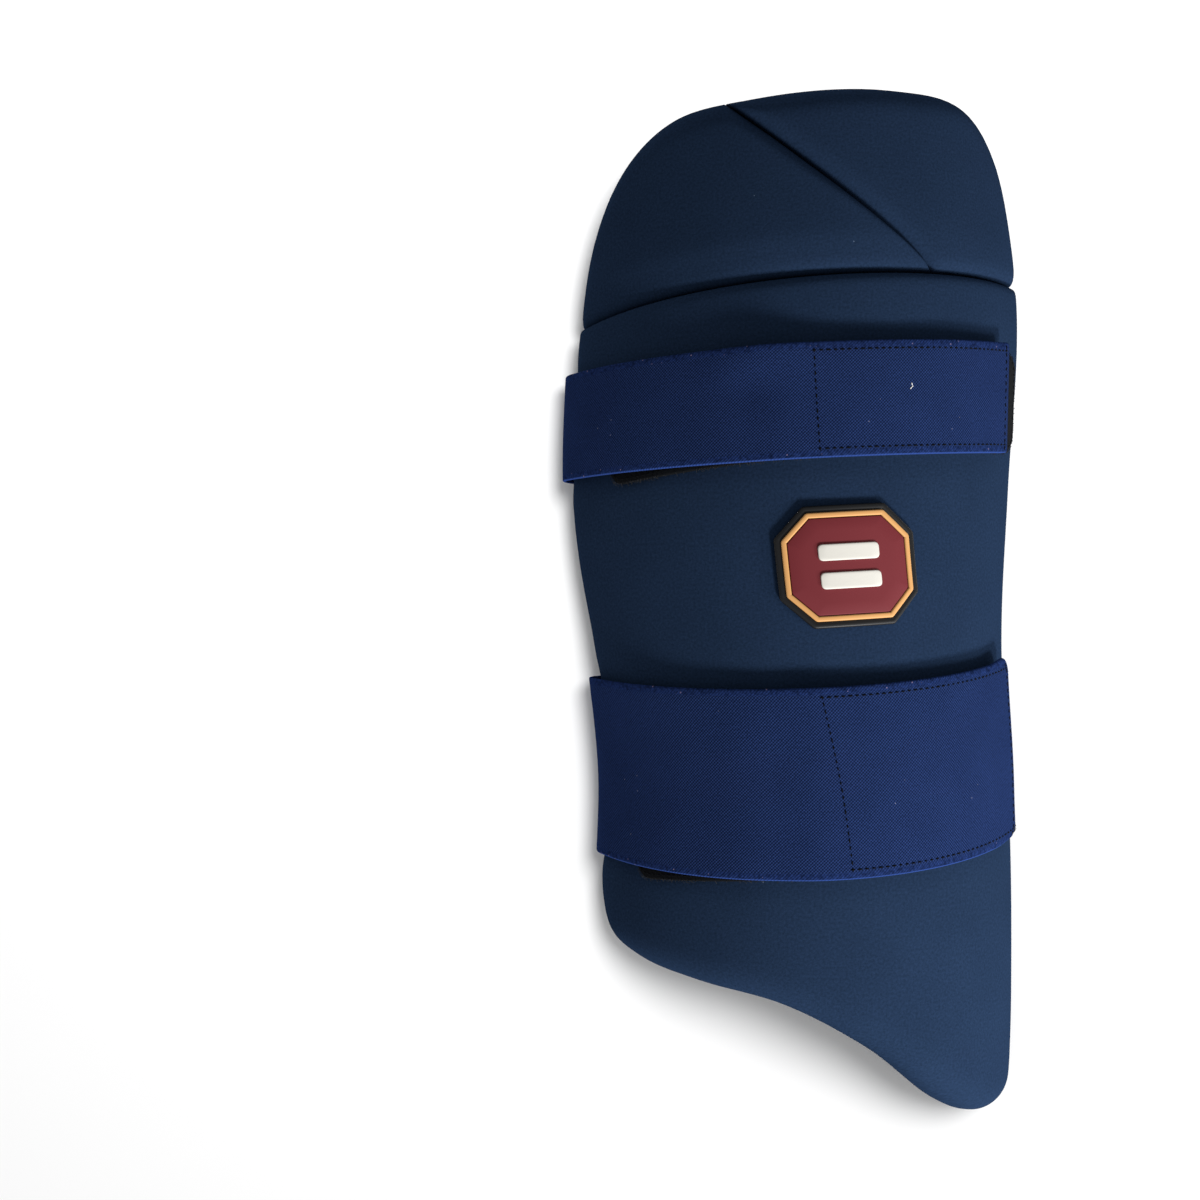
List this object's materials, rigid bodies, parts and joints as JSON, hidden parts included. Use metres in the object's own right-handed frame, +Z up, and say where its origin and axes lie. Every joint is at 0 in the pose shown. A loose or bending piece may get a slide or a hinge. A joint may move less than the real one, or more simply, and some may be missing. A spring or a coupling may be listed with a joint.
{
  "type": "cricket thigh guard",
  "caption": "Curved padded guard for the front of a thigh, in sewn foam blocks, with wrap-round elastic straps that close on hook and loop patches, and a plain rubber badge.",
  "frame": {"origin": "middle of the underside of the whole guard, on the surface it lies on", "axes": "+Z up out of the guard's front, +Y from the knee end to the hip end, +X to the side that the straps fasten on"},
  "size_m": [0.2134, 0.468, 0.0895],
  "materials": {
    "pad_fabric": "matt, finely woven",
    "strap_webbing": "matt, herringbone elastic",
    "loop_pile": "brushed pile",
    "hook_tape": "fine hooks",
    "badge_black": "moulded, satin",
    "badge_gold": "moulded, satin",
    "badge_maroon": "moulded, satin",
    "badge_white": "moulded, satin"
  },
  "bodies": {
    "root": {"main_pad": "pad_fabric", "hip_pad_left": "pad_fabric", "hip_pad_right": "pad_fabric", "upper_loop_patch": "loop_pile", "upper_hook_patch": "hook_tape", "upper_strap": "strap_webbing", "lower_loop_patch": "loop_pile", "lower_hook_patch": "hook_tape", "lower_strap": "strap_webbing", "badge_base": "badge_black", "badge_line": "badge_gold", "badge_field": "badge_maroon", "badge_bar_upper": "badge_white", "badge_bar_lower": "badge_white"}
  },
  "joints": []
}
